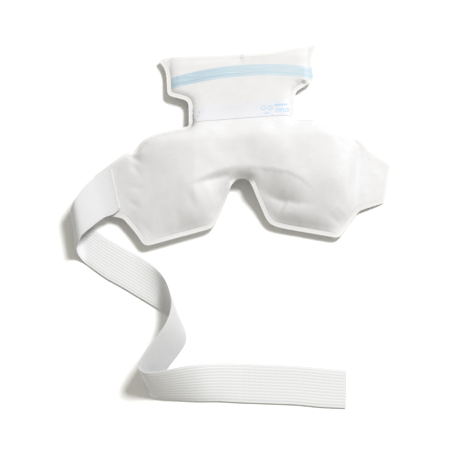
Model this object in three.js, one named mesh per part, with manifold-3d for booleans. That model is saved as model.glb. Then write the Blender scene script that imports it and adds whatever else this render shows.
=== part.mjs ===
// Refillable eye ice pack with an elastic head strap, lying on a table, front side up.
//
// The bag is two mask-shaped sheets of laminated nonwoven, welded together all round except across
// the mouth of the filling neck, which a press-to-close zip shuts. Millimetres, +Z up, +X to the
// right tab, +Y up the neck. The origin is on the flat underside, above the nose notch.
//
// Each sheet is split where the pack bends: at the two wings, the right tab, the neck and the lip.

import * as THREE from "three";
import { mergeVertices } from "three/addons/utils/BufferGeometryUtils.js";
import Module from "manifold-3d";

const wasm = await Module();
wasm.setup();

// ---------------------------------------------------------------- driving dimensions

const SHEET = 1; // thickness of one laminated sheet
const GAP = 0.3; // clearance between neighbouring pieces
const FILL_GAP = 0.5; // between the sheets and the ice
const WELD_WIDTH = 3.5; // flat welded rim round the bag
const RIM_Z = 8; // height of the rim above the table
const CROWN = 20; // how far the filled body rises above the rim
const BELLY = 12; // how far it would hang below the rim, were there no table
const DOME_REACH = 34; // distance from the weld at which the body is at its full height
const LAY_SLOPE = 0.045; // the pack lies with its right side a little further up

// plan of the right half, from the nose notch round to the neck
const NOTCH_APEX_Y = -23.8;
const NOTCH_RADIUS = 8.5;
const NOTCH_FLARE = 0.42; // lean of the notch's straight sides, radians
const LOBE_INNER = [25, -69.3];
const LOBE_OUTER = [85, -83.8];
const TAB_BASE_X = 103;
const TAB_BASE_Y = [-58, 1];
const TAB_TIP = [
  [125.2, -51.3],
  [130.7, -17.6],
];
const BROW = [
  [95, 7.2],
  [84, 16.6],
  [64, 23.8],
];
const TAB_TIP_Z = 4; // the tabs droop from the rim to this height

const NECK_HALF = 46.5; // half width of the filling neck at its foot
const NECK_FOOT_Y = 24.5;
const THROAT_Y = 46.5;
const SHOULDER = [64, 57];
const MOUTH_TIP = [68, 91];
const NECK_FOOT_Z = 9;
const NECK_LIP_Z = 5; // the neck slopes down to this height at the mouth
const NECK_PUFF = { front: 3, back: 2.2, reach: 12 };

const ZIP_Y = 67; // centre of the zip at its ends
const ZIP_ARCH = 5.5; // how far it bows up in the middle
const ZIP_HALF = 56;
const ZIP_BAND = 10.8;
const ZIP_WEB = 0.8;
const RIB = 1.2; // the male rib presses in between two rails of the same width
const RAIL_CLEARANCE = 1.3;
const TRACK_END = 3; // the rib and rails stop this far short of the strip's ends
const FUSE = 0.2; // how far a rib or rail runs into its strip
const LABEL = { halfWidth: 43.5, height: 15.5, y: 34.5, slope: 0.04, thick: 0.5 };

// fold lines
const WING_FOLD_X = 52;
const NECK_FOLD_Y = 47;
const LIP_FOLD_Y = 60.5;

const STRAP = { thick: 1.4, anchorEnd: 5, tailStart: 29 }; // the rulings where its runs are cut
// Lines straight across the elastic, from the edge nearer the viewer to the edge nearer the bag. It
// is welded on the left tab, rolls down to the table, stands on edge round two bends, and lies down.
const STRAP_RULINGS = [
  [[-106, -54, 10.5], [-114, -18, 10.5]],
  [[-112, -59, 11], [-121, -20, 11]],
  [[-119, -62, 12.5], [-129, -26, 13]],
  [[-125, -67, 16], [-136, -34, 17]],
  [[-132, -74, 19.5], [-142, -43, 20.5]],
  [[-139, -81, 21], [-146, -50, 21.5]],
  [[-142, -87, 18.5], [-148, -54, 18.5]],
  [[-144, -91, 11.5], [-149, -56, 11.5]],
  [[-142, -95, 4.5], [-147, -58, 4.5]],
  [[-137, -100, 1], [-142, -62, 1]],
  [[-129, -106, 0.8], [-132, -68, 0.8]],
  [[-118, -114, 0.8], [-119, -77, 0.8]],
  [[-104, -122, 0.8], [-104, -86, 0.8]],
  [[-91, -130, 0.8], [-90, -94, 1]],
  [[-78, -138, 0.8], [-77, -104, 4]],
  [[-66, -146, 0.8], [-68, -116, 12]],
  [[-56, -154, 0.8], [-63, -129, 19.5]],
  [[-49, -162, 1], [-61, -141, 23]],
  [[-49, -171, 1], [-63, -153, 25]],
  [[-54, -180, 0.8], [-68, -164, 26.5]],
  [[-60, -188, 0.8], [-75, -174, 27]],
  [[-67, -197, 0.8], [-82, -184, 27.5]],
  [[-75, -206, 0.8], [-87, -193, 28]],
  [[-79, -214, 1], [-89, -199, 28]],
  [[-76, -219, 1], [-85, -203, 28]],
  [[-69, -221, 1], [-76, -203, 27]],
  [[-56, -222, 1], [-62, -200, 25]],
  [[-38, -223, 0.8], [-43, -195, 18]],
  [[-21, -223, 0.8], [-23, -191, 7]],
  [[-2, -224, 0.8], [-2, -190, 2]],
  [[24, -225, 0.8], [24, -191, 1]],
  [[47, -226, 0.8], [49, -192, 0.8]],
  [[68, -228, 0.8], [70, -194, 0.8]],
  [[89, -229, 0.8], [90, -196, 0.8]],
];
const WELD_BAR = { from: 0.1, to: 0.5, thick: 0.8 };
const HOOK = { x: 115, y: -28, width: 18, height: 24, thick: 1 };

const PLAN_STEP = 8; // grid of the puffed sheets

const COLOURS = {
  nonwoven: 0xe8e7e4,
  zip: 0xbcd9ea,
  label: 0xeeeef5,
  elastic: 0xececf0,
  weld: 0xf2f1ee,
  hook: 0xe4e4e2,
  ice: 0xdfeaf0,
};

const ROUGHNESS = { cloth: 0.85, zip: 0.35, weld: 0.55, ice: 0.4 };

// ---------------------------------------------------------------- plan of the bag

const mix = (a, b, t) => a + (b - a) * t;
const mirrored = (points) => points.map(([x, y]) => [-x, y]).reverse();

// Round end of the notch, from the apex to where it meets the straight right side.
function notchArc(steps = 5) {
  const points = [];
  for (let i = 0; i <= steps; i++) {
    const angle = mix(Math.PI / 2, NOTCH_FLARE, i / steps);
    const centreY = NOTCH_APEX_Y - NOTCH_RADIUS;
    points.push([NOTCH_RADIUS * Math.cos(angle), centreY + NOTCH_RADIUS * Math.sin(angle)]);
  }
  return points;
}

const notch = notchArc();
const lobe = [...notch, LOBE_INNER, LOBE_OUTER, [TAB_BASE_X, TAB_BASE_Y[0]]];
const brow = [[TAB_BASE_X, TAB_BASE_Y[1]], ...BROW, [NECK_HALF, NECK_FOOT_Y]];
const neckSide = [[NECK_HALF, THROAT_Y], SHOULDER, MOUTH_TIP];

const bagHalf = [...lobe, ...TAB_TIP, ...brow, ...neckSide];
const bagOutline = [...bagHalf, ...mirrored(bagHalf).slice(0, -1)];
const bodyHalf = [...lobe, ...brow];
const bodyOutline = [...bodyHalf, ...mirrored(bodyHalf).slice(0, -1)];

function distanceTo([ax, ay], [bx, by], x, y) {
  const dx = bx - ax;
  const dy = by - ay;
  const t = Math.min(1, Math.max(0, ((x - ax) * dx + (y - ay) * dy) / (dx * dx + dy * dy)));
  return Math.hypot(x - ax - t * dx, y - ay - t * dy);
}

function isInside(points, x, y) {
  let inside = false;
  points.forEach(([ax, ay], i) => {
    const [bx, by] = points[(i + 1) % points.length];
    if (ay > y !== by > y && x < ((bx - ax) * (y - ay)) / (by - ay) + ax) inside = !inside;
  });
  return inside;
}

// How far (x, y) is inside the closed outline's weld: 0 on the rim and outside it.
function depthInside(points, x, y) {
  if (!isInside(points, x, y)) return 0;
  const distances = points.map((p, i) => distanceTo(p, points[(i + 1) % points.length], x, y));
  return Math.max(0, Math.min(...distances) - WELD_WIDTH);
}

// The neck is welded along its sides only.
function depthInNeck(x, y) {
  if (y < NECK_FOOT_Y) return 0;
  const sides = [[NECK_HALF, NECK_FOOT_Y], ...neckSide];
  const distances = sides.slice(1).map((p, i) => distanceTo(sides[i], p, Math.abs(x), y));
  return Math.max(0, Math.min(...distances) - WELD_WIDTH);
}

// ---------------------------------------------------------------- height fields

const dome = (t) => Math.sqrt(1 - (1 - Math.min(1, t)) ** 2);
const smooth = (t) => {
  const c = Math.min(1, Math.max(0, t));
  return c * c * (3 - 2 * c);
};

// The plane in which the two sheets are welded.
function weldZ(x, y) {
  if (y > NECK_FOOT_Y - 6 && Math.abs(x) < 70) {
    const up = (y - NECK_FOOT_Y) / (MOUTH_TIP[1] - NECK_FOOT_Y);
    return up < 0 ? mix(NECK_FOOT_Z, RIM_Z, -up * 10) : mix(NECK_FOOT_Z, NECK_LIP_Z, up);
  }
  const out = (Math.abs(x) - TAB_BASE_X) / (TAB_TIP[1][0] - TAB_BASE_X);
  return mix(RIM_Z, TAB_TIP_Z, smooth(out));
}

// Clear rise of the front sheet and drop of the back sheet from the weld plane.
function rise(x, y) {
  const body = CROWN * dome(depthInside(bodyOutline, x, y) / DOME_REACH);
  const neck = NECK_PUFF.front * dome(depthInNeck(x, y) / NECK_PUFF.reach);
  return Math.max(body, neck);
}
function drop(x, y) {
  const body = BELLY * dome(depthInside(bodyOutline, x, y) / DOME_REACH);
  const neck = NECK_PUFF.back * dome(depthInNeck(x, y) / NECK_PUFF.reach);
  return Math.max(body, neck);
}

const front = {
  low: (x, y) => weldZ(x, y) + GAP / 2 + rise(x, y),
  high: (x, y) => front.low(x, y) + SHEET,
};
const back = {
  low: (x, y) => Math.max(0, weldZ(x, y) - GAP / 2 - SHEET - drop(x, y)),
  high: (x, y) => back.low(x, y) + SHEET,
};

// ---------------------------------------------------------------- solids

function solid(geometry) {
  const bare = geometry.index ? geometry.toNonIndexed() : geometry.clone();
  bare.deleteAttribute("normal");
  bare.deleteAttribute("uv");
  const merged = mergeVertices(bare, 1e-4);
  return new wasm.Manifold(
    new wasm.Mesh({
      numProp: 3,
      vertProperties: merged.attributes.position.array,
      triVerts: new Uint32Array(merged.index.array),
    }),
  );
}

const meshGeometry = (vertices, faces) =>
  new THREE.BufferGeometry()
    .setAttribute("position", new THREE.BufferAttribute(vertices, 3))
    .setIndex(new THREE.BufferAttribute(faces, 1));

function geometryOf(manifold) {
  const { vertProperties, triVerts } = manifold.getMesh();
  return meshGeometry(vertProperties, triVerts);
}

// Upright prism over a plan outline, taller than every piece.
function prism(points) {
  const shape = new THREE.Shape(points.map(([x, y]) => new THREE.Vector2(x, y)));
  const upright = new THREE.ExtrudeGeometry(shape, { depth: 60, bevelEnabled: false });
  return solid(upright.translate(0, 0, -5));
}

// The ends of a range and the lines of the shared grid between them. Pieces that lie on each other
// are cut on the same lines, so the clearance between them is even.
function gridLines([low, high]) {
  const lines = [low];
  const first = Math.ceil((low + 1) / PLAN_STEP) * PLAN_STEP;
  for (let at = first; at < high - 1; at += PLAN_STEP) lines.push(at);
  return [...lines, high];
}

// Block between two height fields over the rectangle xs by ys, with the same diagonals above and below.
function block(xs, ys, low, high) {
  const [columns, rows] = [gridLines(xs), gridLines(ys)];
  const [nx, ny] = [columns.length, rows.length];
  const level = (z) => rows.flatMap((y) => columns.flatMap((x) => [x, y, z(x, y)]));
  const vertices = [...level(low), ...level(high)];
  const lower = (i, j) => j * nx + i;
  const upper = (i, j) => nx * ny + lower(i, j);
  const faces = [];
  const quad = (a, b, c, d) => faces.push(a, b, c, a, c, d);
  for (let j = 0; j + 1 < ny; j++) {
    for (let i = 0; i + 1 < nx; i++) {
      quad(upper(i, j), upper(i + 1, j), upper(i + 1, j + 1), upper(i, j + 1));
      faces.push(lower(i, j), lower(i + 1, j + 1), lower(i + 1, j));
      faces.push(lower(i, j), lower(i, j + 1), lower(i + 1, j + 1));
    }
  }
  const wall = (i, j, k, l) => quad(lower(i, j), lower(k, l), upper(k, l), upper(i, j));
  for (let i = 0; i + 1 < nx; i++) {
    wall(i, 0, i + 1, 0);
    wall(i + 1, ny - 1, i, ny - 1);
  }
  for (let j = 0; j + 1 < ny; j++) {
    wall(nx - 1, j, nx - 1, j + 1);
    wall(0, j + 1, 0, j);
  }
  return solid(meshGeometry(new Float32Array(vertices), new Uint32Array(faces)));
}

// Outline moved inwards by the same distance all round.
function inset(points, by) {
  const n = points.length;
  return points.map(([x, y], i) => {
    const [px, py] = points[(i + n - 1) % n];
    const [qx, qy] = points[(i + 1) % n];
    const a = new THREE.Vector2(x - px, y - py).normalize();
    const b = new THREE.Vector2(qx - x, qy - y).normalize();
    const normal = new THREE.Vector2(-a.y - b.y, a.x + b.x).normalize();
    const reach = by / Math.max(0.5, normal.dot(new THREE.Vector2(-a.y, a.x)));
    return [x + normal.x * reach, y + normal.y * reach];
  });
}

const bagPrism = prism(bagOutline);
const fillPrism = prism(inset(bodyOutline, WELD_WIDTH + 4));

const panel = (xs, ys, sheet) => block(xs, ys, sheet.low, sheet.high).intersect(bagPrism);

// The ice fills the space between the sheets, and thins to nothing towards the weld.
const middle = (x, y) => (back.high(x, y) + front.low(x, y)) / 2;
const ice = {
  low: (x, y) => Math.min(middle(x, y) - 0.05, back.high(x, y) + FILL_GAP),
  high: (x, y) => Math.max(middle(x, y) + 0.05, front.low(x, y) - FILL_GAP),
};
const filling = (xs, ys) => block(xs, ys, ice.low, ice.high).intersect(fillPrism);

// ---------------------------------------------------------------- zip and label

const zipY = (x) => ZIP_Y + ZIP_ARCH * (1 - (x / ZIP_HALF) ** 2);

// Plan of a band that follows the zip's arch.
function zipPlan(offset, width, half = ZIP_HALF, steps = 12) {
  const edge = (side) =>
    Array.from({ length: steps + 1 }, (_, i) => {
      const x = mix(-half, half, i / steps);
      return [x, zipY(x) + offset + (side * width) / 2];
    });
  return prism([...edge(-1), ...edge(1).reverse()]);
}

const ZIP_XS = [-ZIP_HALF - 1, ZIP_HALF + 1];
const ZIP_YS = [ZIP_Y - ZIP_BAND, ZIP_Y + ZIP_ARCH + ZIP_BAND];
const zipBlock = (plan, low, high) => block(ZIP_XS, ZIP_YS, low, high).intersect(plan);

const male = {
  high: (x, y) => front.low(x, y) - GAP,
  low: (x, y) => male.high(x, y) - ZIP_WEB,
};
const female = {
  low: (x, y) => back.high(x, y) + GAP,
  high: (x, y) => female.low(x, y) + ZIP_WEB,
};

function maleStrip() {
  const web = zipBlock(zipPlan(0, ZIP_BAND), male.low, male.high);
  const plan = zipPlan(0, RIB, ZIP_HALF - TRACK_END);
  const tip = (x, y) => female.high(x, y) + GAP;
  const root = (x, y) => male.low(x, y) + FUSE;
  return web.add(zipBlock(plan, tip, root));
}

function femaleStrip() {
  const web = zipBlock(zipPlan(0, ZIP_BAND), female.low, female.high);
  return [-1, 1].reduce((strip, side) => {
    const plan = zipPlan(side * (RIB + RAIL_CLEARANCE), RIB, ZIP_HALF - TRACK_END);
    const root = (x, y) => female.high(x, y) - FUSE;
    const tip = (x, y) => male.low(x, y) - 2 * GAP;
    return strip.add(zipBlock(plan, root, tip));
  }, web);
}

function labelBand() {
  const { halfWidth, height, y, slope, thick } = LABEL;
  const corner = (sx, sy) => [sx * halfWidth, y + slope * sx * halfWidth + (sy * height) / 2];
  const plan = prism([corner(-1, -1), corner(1, -1), corner(1, 1), corner(-1, 1)]);
  const low = (px, py) => front.high(px, py) + GAP;
  const high = (px, py) => low(px, py) + thick;
  return block([-NECK_HALF, NECK_HALF], [2 * PLAN_STEP, NECK_FOLD_Y - GAP], low, high).intersect(plan);
}

// ---------------------------------------------------------------- elastic strap

const strapEdges = [0, 1].map(
  (edge) =>
    new THREE.CatmullRomCurve3(STRAP_RULINGS.map((ruling) => new THREE.Vector3(...ruling[edge]))),
);
const STRAP_SPANS = STRAP_RULINGS.length - 1;
const CUT = 0.02; // clearance at a cut, as a share of the way to the next ruling

// Closed ribbon from one place along the strap to another, counted in rulings.
function ribbon(from, to, thick = STRAP.thick, lift = 0) {
  const steps = Math.max(1, Math.round((to - from) * 2));
  const vertices = [];
  for (let i = 0; i <= steps; i++) {
    const t = mix(from, to, i / steps) / STRAP_SPANS;
    const [near, far] = strapEdges.map((edge) => edge.getPoint(t));
    const along = strapEdges[0].getTangent(t).add(strapEdges[1].getTangent(t));
    const normal = new THREE.Vector3().crossVectors(far.clone().sub(near), along).normalize();
    const corner = (edge, side) => edge.clone().addScaledVector(normal, lift + (side * thick) / 2);
    for (const point of [corner(far, 1), corner(far, -1), corner(near, -1), corner(near, 1)]) {
      vertices.push(...point.toArray());
    }
  }
  const faces = [];
  const quad = (a, b, c, d) => faces.push(a, b, c, a, c, d);
  for (let i = 0; i < steps; i++) {
    for (let k = 0; k < 4; k++) {
      const next = (k + 1) % 4;
      quad(4 * i + k, 4 * i + next, 4 * i + 4 + next, 4 * i + 4 + k);
    }
  }
  const last = 4 * steps;
  quad(3, 2, 1, 0);
  quad(last, last + 1, last + 2, last + 3);
  return meshGeometry(new Float32Array(vertices), new Uint32Array(faces));
}

function hookPatch() {
  const { x, y, width, height, thick } = HOOK;
  const high = (px, py) => back.low(px, py) - GAP;
  const low = (px, py) => high(px, py) - thick;
  return block([x - width / 2, x + width / 2], [y - height / 2, y + height / 2], low, high);
}

// ---------------------------------------------------------------- assembly

const part = new THREE.Group();
const lay = new THREE.Matrix4().makeShear(LAY_SLOPE, 0, 0, 0, 0, 0); // y rises with x

function add(name, geometry, finish) {
  const color = COLOURS[finish];
  const roughness = ROUGHNESS[finish] ?? ROUGHNESS.cloth;
  const material = new THREE.MeshStandardMaterial({ color, roughness, metalness: 0 });
  const mesh = new THREE.Mesh(geometry, material);
  mesh.name = name;
  part.add(mesh);
}
const addLaid = (name, manifold, finish) =>
  add(name, geometryOf(manifold).applyMatrix4(lay), finish);

const LOW_Y = LOBE_OUTER[1] - 5;
const wingXs = [WING_FOLD_X + GAP, TAB_BASE_X - GAP / 2];
const tabXs = [TAB_BASE_X + GAP, TAB_TIP[1][0] + 5];
const centreXs = [-WING_FOLD_X + GAP, WING_FOLD_X - GAP];
const flipped = ([a, b]) => [-b, -a];
const wingYs = [LOW_Y, NECK_FOOT_Y + 10];
const neckXs = [-MOUTH_TIP[0] - 5, MOUTH_TIP[0] + 5];
const mouthYs = [LIP_FOLD_Y + GAP, MOUTH_TIP[1] + 5];

for (const [side, sheet] of [["front", front], ["back", back]]) {
  addLaid(`${side}_centre_panel`, panel(centreXs, [LOW_Y, NECK_FOLD_Y - GAP], sheet), "nonwoven");
  addLaid(`${side}_right_wing`, panel(wingXs, wingYs, sheet), "nonwoven");
  addLaid(`${side}_left_wing`, panel(flipped(wingXs), wingYs, sheet), "nonwoven");
  addLaid(`${side}_right_tab`, panel(tabXs, wingYs, sheet), "nonwoven");
  addLaid(`${side}_left_tab`, panel(flipped(tabXs), wingYs, sheet), "nonwoven");
}
addLaid("front_neck_panel", panel(neckXs, [NECK_FOLD_Y + GAP, LIP_FOLD_Y - GAP], front), "nonwoven");
addLaid("front_lip_panel", panel(neckXs, mouthYs, front), "nonwoven");
addLaid("back_neck_panel", panel(neckXs, [NECK_FOLD_Y + GAP, mouthYs[1]], back), "nonwoven");

addLaid("ice_centre", filling(centreXs, wingYs), "ice");
addLaid("ice_right_wing", filling(wingXs, wingYs), "ice");
addLaid("ice_left_wing", filling(flipped(wingXs), wingYs), "ice");

addLaid("zip_male_strip", maleStrip(), "zip");
addLaid("zip_female_strip", femaleStrip(), "zip");
addLaid("label_band", labelBand(), "label");
addLaid("hook_patch", hookPatch(), "hook");

add("strap_anchor", ribbon(0, STRAP.anchorEnd - CUT), "elastic");
add("elastic_strap", ribbon(STRAP.anchorEnd + CUT, STRAP.tailStart - CUT), "elastic");
add("elastic_strap_end", ribbon(STRAP.tailStart + CUT, STRAP_SPANS), "elastic");
const barLift = (STRAP.thick + WELD_BAR.thick) / 2 + GAP;
add("strap_weld_bar", ribbon(WELD_BAR.from, WELD_BAR.to, WELD_BAR.thick, barLift), "weld");

export default part;
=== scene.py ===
import math

import bpy
import numpy as np
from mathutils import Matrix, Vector, noise
from mathutils.bvhtree import BVHTree
from mathutils.geometry import delaunay_2d_cdt


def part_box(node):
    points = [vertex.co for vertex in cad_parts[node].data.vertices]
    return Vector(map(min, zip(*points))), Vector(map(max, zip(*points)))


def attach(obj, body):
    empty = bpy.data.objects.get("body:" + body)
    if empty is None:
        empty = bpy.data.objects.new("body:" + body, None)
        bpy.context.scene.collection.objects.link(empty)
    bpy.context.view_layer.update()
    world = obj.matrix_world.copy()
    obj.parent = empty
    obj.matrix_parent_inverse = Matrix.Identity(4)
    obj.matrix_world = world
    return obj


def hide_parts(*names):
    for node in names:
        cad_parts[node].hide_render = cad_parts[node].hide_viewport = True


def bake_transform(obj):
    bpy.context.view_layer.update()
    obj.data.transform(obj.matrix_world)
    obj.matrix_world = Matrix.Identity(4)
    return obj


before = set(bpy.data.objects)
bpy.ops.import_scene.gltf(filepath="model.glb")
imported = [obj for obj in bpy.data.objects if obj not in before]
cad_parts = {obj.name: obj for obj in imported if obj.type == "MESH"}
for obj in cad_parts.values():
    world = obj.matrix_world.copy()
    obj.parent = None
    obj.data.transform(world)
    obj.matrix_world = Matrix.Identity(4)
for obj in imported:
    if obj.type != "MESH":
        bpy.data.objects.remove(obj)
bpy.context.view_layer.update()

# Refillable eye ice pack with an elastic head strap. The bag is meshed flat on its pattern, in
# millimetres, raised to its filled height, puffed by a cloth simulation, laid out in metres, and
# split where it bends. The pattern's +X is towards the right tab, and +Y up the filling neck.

MM = 0.001

# ---- camera, lights and floor

CAMERA = {"target": (-0.0149, -0.0658, 0.0), "elevation": 75.0, "distance": 2.73, "lens": 250.0}
KEY = {"direction": (0.48, 0.50, 0.90), "distance": 5.0, "size": 1.3, "power": 268.0}
SKY_STRENGTH = 0.44
SKY_COLOUR = (1.0, 0.974, 0.86, 1.0)
KEY_COLOUR = (0.965, 0.98, 1.0)
FLOOR_DROP = 0.0004
FLOOR_HALF = 3.0
FLOOR_CORNERS = ((-1, -1), (1, -1), (1, 1), (-1, 1))


def put_in_scene(name, data):
    obj = bpy.data.objects.new(name, data)
    bpy.context.scene.collection.objects.link(obj)
    return obj


def look_at(obj, place, target):
    obj.location = place
    obj.rotation_euler = (Vector(target) - Vector(place)).to_track_quat("-Z", "Y").to_euler()


def make_camera():
    data = bpy.data.cameras.new("camera")
    data.lens = CAMERA["lens"]
    data.sensor_width = 36.0
    data.clip_end = 20.0
    camera = put_in_scene("camera", data)
    up = math.radians(CAMERA["elevation"])
    away = Vector((0.0, -math.cos(up), math.sin(up))) * CAMERA["distance"]
    look_at(camera, Vector(CAMERA["target"]) + away, CAMERA["target"])
    bpy.context.scene.camera = camera


def make_light():
    data = bpy.data.lights.new("key", "AREA")
    data.size = KEY["size"]
    data.energy = KEY["power"]
    data.color = KEY_COLOUR
    light = put_in_scene("key", data)
    target = Vector(CAMERA["target"])
    look_at(light, target + Vector(KEY["direction"]).normalized() * KEY["distance"], target)
    world = bpy.data.worlds.new("studio")
    world.use_nodes = True
    sky = world.node_tree.nodes["Background"]
    sky.inputs["Color"].default_value = SKY_COLOUR
    sky.inputs["Strength"].default_value = SKY_STRENGTH
    bpy.context.scene.world = world


def make_floor():
    mesh = bpy.data.meshes.new("floor")
    corners = [(x * FLOOR_HALF, y * FLOOR_HALF, -FLOOR_DROP) for x, y in FLOOR_CORNERS]
    mesh.from_pydata(corners, [], [(0, 1, 2, 3)])
    material = bpy.data.materials.new("floor")
    material.use_nodes = True
    shader = material.node_tree.nodes["Principled BSDF"]
    shader.inputs["Base Color"].default_value = (0.95, 0.95, 0.95, 1.0)
    shader.inputs["Roughness"].default_value = 0.9
    shader.inputs["Specular IOR Level"].default_value = 0.1
    mesh.materials.append(material)
    floor = put_in_scene("floor", mesh)


make_camera()
make_light()
make_floor()
bpy.context.scene.view_settings.view_transform = "Standard"

# ---- the bag's pattern, in millimetres

LAY_SPACING = 2.0  # distance between mesh points
LAY_SLOPE = 0.045  # the bag lies with its right side further up
PATTERN_UNIT = 100.0  # millimetres to one unit of the pattern's texture coordinates
RIM_UNIT = 10.0  # and of those that give the distance from the outline

WELD_WIDTH = 3.6
SKIN = 0.6  # one laminated sheet
RIM_HALF = 0.7  # half the thickness of the two sheets where they are welded
RIM_Z = 8.0
RIM_RIPPLE = 0.7  # how far the rim wanders up and down
RIPPLE_LENGTH = 34.0
RIM_DROOP = 0.4  # how far the rim's edge hangs, with more at the brow and at the notch
BROW_DROOP = 3.2
NOTCH_DROOP = 5.0
NOTCH_HEAD = (-0.5, -24.0)
NOTCH_LIFT = 10.0  # the fill lifts the rim at the top of the notch
NOTCH_LIFT_Y = -26.0
NOTCH_LIFT_REACH = 21.0
LOBE_SETTLE = 2.8  # how far the right lobe's rim has sunk towards the table
TAB_SETTLE = 2.4  # and how much further it has sunk next to the right tab

CROWN = 17.5  # height of the fill over the rim
BELLY = 12.0  # how far the back sheet hangs below the rim
LOBE_SHARE = 0.64  # share of the crown that is left at the lower end of the lobes
LOBE_STEEPNESS = 1.6  # the lobes fall evenly to their rim
BROW_STEEPNESS = 0.45  # the brow falls late and steeply
SADDLE = 0.68  # share of the crown that is lost over the bridge of the nose
SADDLE_Y = -22.0
SADDLE_REACH = 25.0
LUMPS = [(0.07, RIPPLE_LENGTH, 0.0), (0.02, 13.0, 7.0)]  # share of the height, length and seed
FILM_STEPS = 2300  # rounds in which the soap film under the fill's shape settles
FILM_GAIN = 0.0032  # how soon the fill reaches its full height from the weld

TAB_BASE_X = 103.0
TAB_CUT_X = 103.0  # the fill ends here, and the right tab is a piece of its own
TAB_TIP_X = 130.7
TAB_TIP_Z = 4.0
NECK_FOOT_Y = 24.5
NECK_FOOT_Z = 9.0
NECK_LIP_Z = 5.0
NECK_LEFT = -67.0  # where the neck's two side welds run near the mouth
NECK_RIGHT = 61.5
MOUTH_Y = 88.0
NECK_PUFF = 3.0
NECK_DROP = 2.2
NECK_REACH = 12.0  # the neck has its full puff this far from its welds

ZIP_Y = 67.0
ZIP_ARCH = 5.5
ZIP_HALF = 56.0
ZIP_BAND = 10.8
ZIP_RISE = 3.1  # the zip strips hold the two sheets this far apart, up to the side welds
ZIP_TILT = 0.035  # the band seen through the sheet climbs a little to the right
LIP_CUT = ZIP_BAND / 2 + 0.6

LABEL_Y = 34.5
LABEL_SLOPE = 0.04
LABEL_HALF = 42.9
LABEL_HEIGHT = 15.5
LABEL_LIFT = 0.12
LABEL_THICK = 0.28
MARK_LIFT = 0.42
MARK_THICK = 0.06

# Corners of the outline and the radius that rounds each, from the nose notch round the right side
# to the mouth, and from the mouth down the left side.
NOTCH_TOP = [(7.8, -33.0, 3.0), (4.4, -27.4, 3.4), (-4.8, -27.2, 3.4), (-9.0, -32.6, 3.0)]
RIGHT = [
    (22.5, -66.5, 7), (30.5, -70.8, 8), (84.5, -83.0, 5), (102.5, -58.6, 2.5), (124.9, -51.6, 3),
    (131.0, -16.6, 3), (110.5, -2.6, 8), (99.0, 7.6, 8), (86.0, 17.6, 14), (64.0, 25.0, 16),
    (46.8, 25.0, 1.5), (46.8, 51.5, 4), (63.0, 61.0, 4), (61.6, 83.0, 6), (67.6, 96.2, 1),
]
MOUTH = [(45.0, 92.6, 12), (25.0, 89.4, 12), (-15.0, 88.8, 30), (-50.0, 89.2, 12)]
LEFT = [
    (-69.5, 89.2, 2), (-73.4, 86.2, 0.8), (-67.0, 77.0, 8), (-65.6, 53.4, 4), (-49.6, 48.2, 2),
    (-47.0, 44.8, 2), (-46.6, 24.0, 1.5), (-71.0, 21.0, 16), (-86.5, 15.5, 9), (-93.0, 6.6, 6),
    (-96.0, 3.0, 3), (-102.5, 2.0, 4), (-131.0, -17.6, 3), (-125.0, -51.4, 3), (-104.0, -57.2, 3),
    (-94.0, -69.0, 10), (-84.5, -83.5, 5), (-25.5, -69.3, 6), (-20.5, -61.5, 8),
]

# The fill stands high above this line, and falls away below it towards the notch and the lobes:
# x, y, the share of the height that it loses, over what width, how far on it regains it, and how
# late in the width it falls.
STEP = [
    (-44, -31, 0.02, 3, 20, 1.5), (-34, -27.2, 0.17, 3.2, 34, 1.5), (-26, -24, 0.34, 4, 44, 1.4),
    (-16, -20.8, 0.58, 5, 44, 1.2), (-8, -19.2, 0.50, 6, 30, 1.0), (8, -19.6, 0.40, 6, 20, 0.95),
    (17, -21.3, 0.66, 16, 13, 0.95), (28, -23.6, 0.76, 20.5, 15, 1.05),
    (41, -27.5, 0.68, 22.5, 16, 1.7), (52, -33.5, 0.56, 21, 16, 2.2), (61, -42, 0.22, 16, 14, 2.2),
    (68, -50, 0.02, 8, 10, 2.2),
]
STEP_CREST = 0.08  # the share of its height that the fill gains along the line
STEP_CREST_REACH = 11.0

# Creases in the front sheet: from x, y to x, y, then depth and width. A negative depth is a ridge.
CREASES = [
    (-101, 1, -87, -11, 1.5, 2.4), (-98, -7, -88, -22, 0.8, 2.6), (-96, 4, -84, -3, -0.8, 2.2),
    (-50, -36, -37, -60, 0.5, 3.4), (-33, -30, -24, -52, -0.4, 3.2), (-60, -50, -52, -70, 0.3, 3.0),
    (75, -63, 88, -73, 0.9, 2.6), (82, -56, 93, -64, -0.6, 2.4), (86, -6, 98, -22, 0.7, 2.8),
    (80, 8, 93, -8, 0.6, 2.6), (-100, -30, -86, -33, 0.5, 2.6), (-100, -42, -88, -50, 0.6, 2.6),
    (80, 4, 101, -7, 0.5, 5.0), (105, -13, 124, -21, 0.55, 1.9), (109, -7, 116, -14, -0.4, 1.6),
    (105, -44, 125, -45.5, 0.6, 1.8), (112, -24, 121, -27, -0.35, 2.0),
    (38, -62, 52, -69, 0.4, 2.8), (-88, -60, -78, -76, 0.4, 2.6),
]


def mix(a, b, t):
    return a + (b - a) * t


def smooth(t):
    c = np.clip(t, 0.0, 1.0)
    return c * c * (3 - 2 * c)


def ramp(value, start, end):
    """0 up to start, 1 from end on, and smooth between them. The end may be the lower one."""
    return smooth((value - start) / (end - start))


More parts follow.
